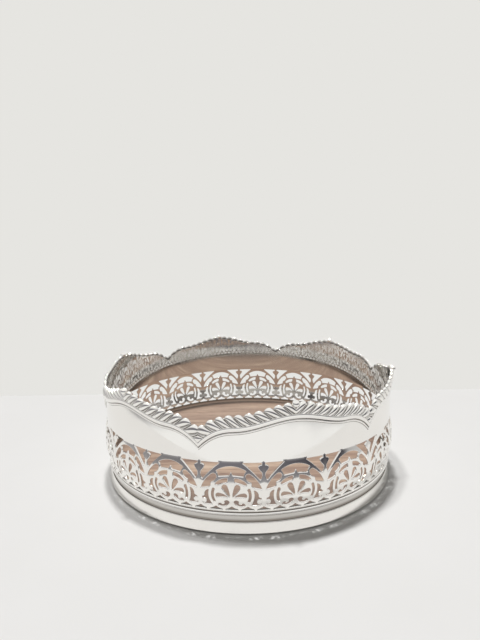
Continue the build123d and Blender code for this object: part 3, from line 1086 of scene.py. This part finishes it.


# %% Lay out the rows of the section
# From the reed and the thread up over the lobes to the back. Each row has its part of the thread, its
# part of the lobes' height, how far it stands off the collar in millimetres, how much the lobes carve
# it, and its darkness, painted shade mixed with tarnish. The lines of reed and thread give only the
# first, the third and the last of these.
reed_line = [
    (0.0, 0.05, 0.85), (0.06, 0.12, 0.85), (0.085, 0.45, 0.3), (0.105, 0.62, 0.0), (0.13, 0.67, 0.0),
    (0.285, 0.7, 0.0), (0.305, 0.68, 0.0), (0.325, 0.58, 0.2), (0.338, 0.4, 0.7),
]
thread_line = [
    (0.352, 0.3, 0.9), (0.43, 0.3, 0.9), (0.445, 0.6, 0.6), (0.455, 1.0, 0.2), (0.47, 1.25, 0.0),
    (0.5, 1.36, 0.0), (0.9, 1.42, 0.0), (0.94, 1.4, 0.0), (0.97, 1.32, 0.05), (1.0, 1.15, 0.3),
]
thread_rows = [(part, 0.0, proud, 0.0, dark) for part, proud, dark in reed_line + thread_line]
lobe_base, lobe_bulge, lobe_power = 0.25, 1.95, 0.85
lobe_start, lobe_end, lobe_row_count = -52, 90, 15
lobe_turns = np.radians(np.linspace(lobe_start, lobe_end, lobe_row_count))
lobe_climb = (np.sin(lobe_turns) - np.sin(lobe_turns[0])) / (1 - np.sin(lobe_turns[0]))
lobe_rows = [
    (1.0, climb**lobe_power, lobe_base + lobe_bulge * math.cos(turn), 1.0, 0.0)
    for climb, turn in zip(lobe_climb, lobe_turns)
]
top_rows = [
    (1.0, 0.97, -0.45, 1.0, 0.3), (1.0, 0.86, -0.95, 1.0, 0.65), (1.0, 0.72, -1.25, 0.5, 0.7),
    (1.0, 0.6, -1.25, 0.0, 0.5),
]
back_rows = [(1.0, 0.6, -0.5, 0.0, 0.0), (0.0, 0.0, -0.5, 0.0, 0.0)]
rows = np.array(thread_rows + lobe_rows + top_rows + back_rows)
print(len(rows), "rows in the section")

# %% [markdown]
# The strip is cut off at the peak and at the valley by holding its lobe numbers there. Columns that pile
# up on a cut weld together in the tree, and the open end at each valley is filled to close the mitre.

# %% Make the strip's mesh
layout_words = ("share", "bump", "thread_part", "climb", "proud", "lobed", "hand")
# The grooves between the lobes are darkened, painted shade mixed with tarnish.
groove_tarnish_and_shade = 0.7


def border_strip(name):
    """Both halves of a section as one mesh, with its layout stored in point attributes."""
    lean = sweep * (1 - rows[:, 1]) ** sweep_power
    width = fillet_widths(rows[:, 1])
    phase = np.clip(spread(columns[:, None], width), lean, lobes_per_half + lean)
    share = (phase - lean) / lobes_per_half
    bump = rib_heights(phase, width)
    thread_part, climb, proud, lobed, dark = (np.broadcast_to(row, phase.shape) for row in rows.T)
    recess = np.maximum(dark, lobed * (1 - bump) ** 2 * groove_tarnish_and_shade)
    hand = np.ones(phase.shape)
    count, loop = phase.shape
    faces = grid_faces(count, loop, False)
    faces += [tuple(count * loop + corner for corner in face[::-1]) for face in faces]
    mesh = bpy.data.meshes.new(name)
    mesh.from_pydata(np.zeros((2 * count * loop, 3)), [], faces)
    layout = (share, bump, thread_part, climb, proud * MM, lobed, hand)
    for word, values in zip(layout_words + ("recess",), layout + (recess,)):
        mirrored = -values if word == "hand" else values
        store(mesh, word, np.concatenate((values.ravel(), mirrored.ravel())))
    return mesh


# %% Set the strip on the rim line
rim_sizes = {
    "neck_radius": neck_radius,
    "front_angle": front_angle,
    "half_angle": scallop_angle / 2,
    "shoulder": shoulder,
    "border_height": border_height,
    "thread_height": thread_height,
    "thread_drop": thread_drop,
    "hump_height": hump_height,
    "hump_reach": hump_reach,
    "beak_start": beak_start,
    "beak_power": beak_power,
    "beak_drop": beak_drop,
    "valley_drop": valley_drop,
    "groove_depth": 0.72,
    "head_dip": 0.36,
    "section": 0.0,
}
rim_steps = {
    "hump": "hump_height / 2 * (1 + cos(pi * min(share / hump_reach, 1)))",
    "fall": "max((share - beak_start) / (1 - beak_start), 0) ** beak_power",
    "bottom": "shoulder + hump - beak_drop * fall - thread_drop",
    "top": "shoulder + border_height + hump - valley_drop * fall",
    "head": "1 - head_dip * lobed * (1 - bump) * climb ** 4",
    "height": "bottom + thread_part * thread_height + climb * head * (top - bottom - thread_height)",
    "radius": "neck_radius + proud * (1 - groove_depth * lobed * (1 - bump))",
    "turn": "front_angle + half_angle * (hand * share + 2 * section)",
}
rim_tree, sizes = new_tree("border_on_rim", rim_sizes)
fields = dict(sizes, pi=math.pi)
for word in layout_words:
    reader = add_node(rim_tree, "GeometryNodeInputNamedAttribute", {"Name": word}, data_type="FLOAT")
    fields[word] = reader.outputs[0]
placed = set_round_axis(rim_tree, sizes["mesh"], rim_steps, fields)
cut_weld = 0.004 * MM
finish_tree(rim_tree, placed, cut_weld, sizes["finish"])

# %% [markdown]
# Each section is a casting of its own, soldered on between two valleys, so each is its own piece. The
# ball at the peak is part of the casting.

# %% Make the six sections
ball_radius, ball_proud, ball_sink = 2.5 * MM, 1.1 * MM, 1.0 * MM
sliver = 0.002 * MM


def close_and_crown(mesh, section):
    """Fills the two mitre ends of a section and adds the ball at its peak."""
    work = bmesh.new()
    work.from_mesh(mesh)
    bmesh.ops.dissolve_degenerate(work, edges=work.edges, dist=sliver)
    bmesh.ops.holes_fill(work, edges=[edge for edge in work.edges if edge.is_boundary])
    bmesh.ops.recalc_face_normals(work, faces=work.faces)
    turn = front_angle + section * scallop_angle
    reach = neck_radius + ball_proud
    place = Vector((reach * math.cos(turn), reach * math.sin(turn), rim_top(0.0) - ball_sink))
    bmesh.ops.create_icosphere(
        work, subdivisions=3, radius=ball_radius, matrix=Matrix.Translation(place)
    )
    work.to_mesh(mesh)
    work.free()
    for word in layout_words:
        mesh.attributes.remove(mesh.attributes[word])
    smooth(mesh, 55)


for section in range(scallop_count):
    name = f"gadroon_border_{section + 1}"
    values = dict(rim_sizes, section=float(section), finish=silver_plate)
    piece = run_tree(name, border_strip(name), rim_tree, values)
    close_and_crown(piece.data, section)
    dress(piece, silver_plate, "silver_plate", f"gadroon_section_{section + 1}")

# %% [markdown]
# ## The table and the light
# Polished silver is only as good as what it reflects. The coaster stands on a pale table with a bowed
# front, under two soft lamps. One is nearly overhead and a little behind, and the other lies further to
# the left. The world is pale for the camera, and for mirror rays it also holds a darker belt round the
# horizon, as there is beyond any table's edge.

# %% Lay the table
facing = Matrix.Rotation(camera_turn, 4, "Z")
half_side, table_back, table_reach, table_thickness = 330 * MM, 192 * MM, 407 * MM, 0.8 * MM
# The front edge is fuller than an ellipse, whose power would be 1.
bow_power, edge_points = 2 / 2.6, 97
mottle_size = 60 * MM
table_mesh = bpy.data.meshes.new("table_top")
work = bmesh.new()
edge = []
for turn in np.linspace(0, np.pi, edge_points):
    across = math.copysign(abs(math.cos(turn)) ** bow_power, math.cos(turn))
    forward = abs(math.sin(turn)) ** bow_power
    edge.append(work.verts.new((half_side * across, table_back - table_reach * forward, 0)))
made = bmesh.ops.extrude_face_region(work, geom=[work.faces.new(edge)])["geom"]
lower = [part for part in made if isinstance(part, bmesh.types.BMVert)]
bmesh.ops.translate(work, verts=lower, vec=(0, 0, -table_thickness))
bmesh.ops.recalc_face_normals(work, faces=work.faces)
bmesh.ops.transform(work, verts=work.verts, matrix=facing)
work.to_mesh(table_mesh)
work.free()
table = add_object("table_top", table_mesh)
table_paint, tree, surface, place = new_material("pale_painted_table")
mottle = add_node(
    tree, "ShaderNodeTexNoise", {"Vector": place, "Scale": 1 / mottle_size, "Detail": 2.0}
)
shades = {"Factor": mottle.outputs["Fac"], "A": linear("#e7e6e4"), "B": linear("#eae9e8")}
colour = add_node(tree, "ShaderNodeMix", shades, data_type="RGBA").outputs["Result"]
fill(tree, surface, {"Base Color": colour, "Roughness": 0.6, "Specular IOR Level": 0.2})
table.data.materials.append(table_paint)
print("table", round(2 * half_side / MM), "mm wide")

# %% Surround the coaster
world = bpy.data.worlds.new("pale_studio")
bpy.context.scene.world = world
world.use_nodes = True
tree = world.node_tree
tree.nodes.clear()
path = add_node(tree, "ShaderNodeLightPath").outputs
direction = add_node(tree, "ShaderNodeTexCoord").outputs["Generated"]
flow = add_node(tree, "ShaderNodeSeparateXYZ", {0: direction}).outputs

# Bearing runs from 0 behind the coaster, by the left, to 0.5 at the camera, and on by the right to 1.
full_turn = 2 * math.pi
bearing = formula(
    tree,
    "frac(atan2(y, x) / full_turn + shift)",
    x=flow["X"],
    y=flow["Y"],
    full_turn=full_turn,
    shift=0.75 - camera_turn / full_turn,
)
rise = formula(tree, "height / 2 + 0.5", height=flow["Z"])
# What mirrors meet round the horizon, by bearing, and how much of that belt they meet, by height.
horizon = [
    (0.12, "#d8d7d5"), (0.2, "#a09e9f"), (0.33, "#7c7a7c"), (0.45, "#76747a"), (0.55, "#6c6a6f"),
    (0.62, "#4c4a50"), (0.70, "#454349"), (0.715, "#b0afaf"), (0.80, "#d8d7d5"),
]
belt = [
    (0.3225, "#000000"), (0.333, "#e8e8e8"), (0.44, "#ffffff"), (0.57, "#ffffff"), (0.68, "#000000"),
]
shades = []
for value, stops in ((rise, belt), (bearing, horizon)):
    ramp = add_node(tree, "ShaderNodeValToRGB", {"Fac": value})
    set_stops(ramp, stops)
    shades.append(ramp.outputs["Color"])
pale = linear("#e6e5e1")
mirror_shades = {"Factor": shades[0], "A": linear("#f4f4f3"), "B": shades[1]}
mirrored = add_node(tree, "ShaderNodeMix", mirror_shades, data_type="RGBA").outputs["Result"]
backdrop_shades = {"Factor": path["Is Camera Ray"], "A": mirrored, "B": pale}
backdrop = add_node(tree, "ShaderNodeMix", backdrop_shades, data_type="RGBA").outputs["Result"]
seen = formula(
    tree,
    "min(camera + glossy + clear, 1)",
    camera=path["Is Camera Ray"],
    glossy=path["Is Glossy Ray"],
    clear=path["Is Transmission Ray"],
)
shown = add_node(tree, "ShaderNodeBackground", {"Color": backdrop, "Strength": 1.0})
lighting = add_node(tree, "ShaderNodeBackground", {"Color": pale, "Strength": 0.22})
mixed = add_node(tree, "ShaderNodeMixShader", {0: seen, 1: lighting.outputs[0], 2: shown.outputs[0]})
add_node(tree, "ShaderNodeOutputWorld", {"Surface": mixed.outputs[0]})
print(world.name, "has", len(tree.nodes), "nodes")

# %% Hang the lamps
# Each lamp: its name, its share of the light, and the way it lies from the coaster as the camera sees it.
lamps = [("overhead_lamp", 0.55, (-0.005, 0.14, 1.0)), ("left_lamp", 0.28, (-0.12, 0.09, 1.0))]
lamp_angle = math.radians(4.0)
for name, share, lies in lamps:
    lamp_data = bpy.data.lights.new(name, "SUN")
    lamp_data.energy = share * math.pi
    lamp_data.angle = lamp_angle
    lamp = add_object(name, lamp_data)
    lamp.rotation_mode = "QUATERNION"
    lamp.rotation_quaternion = (facing @ Vector(lies)).to_track_quat("Z", "Y")
print("lit by", len(lamps), "lamps and the world")

# %% [markdown]
# ## The camera
# The camera's place comes from fitting the coaster's rings to the photograph: how far it stands, how
# high, and how it is turned. The focal length is in pixels of a frame 640 high, which the sensor covers.

# %% Set the camera
frame_height = 640
focal_pixels = 479.3
camera_distance, camera_height = 406.3 * MM, 184.4 * MM
yaw, pitch, roll = -0.0134, 0.14905, -0.01883
camera_data = bpy.data.cameras.new("photo_camera")
camera_data.sensor_width = 36.0
camera_data.lens = focal_pixels / frame_height * camera_data.sensor_width
camera_data.clip_start = 10 * MM
forward = Vector((math.sin(yaw) * math.cos(pitch), math.cos(yaw) * math.cos(pitch), -math.sin(pitch)))
level = Vector((math.cos(yaw), -math.sin(yaw), 0))
upright = level.cross(forward)
right = math.cos(roll) * level + math.sin(roll) * upright
up = math.cos(roll) * upright - math.sin(roll) * level
axes = Matrix((right, up, -forward)).transposed().to_4x4()
place = Matrix.Translation((0, -camera_distance, camera_height))
camera = add_object("photo_camera", camera_data)
camera.matrix_world = facing @ place @ axes
bpy.context.scene.camera = camera
bpy.context.scene.view_settings.view_transform = "Standard"
print("lens", round(camera_data.lens, 2), "mm")
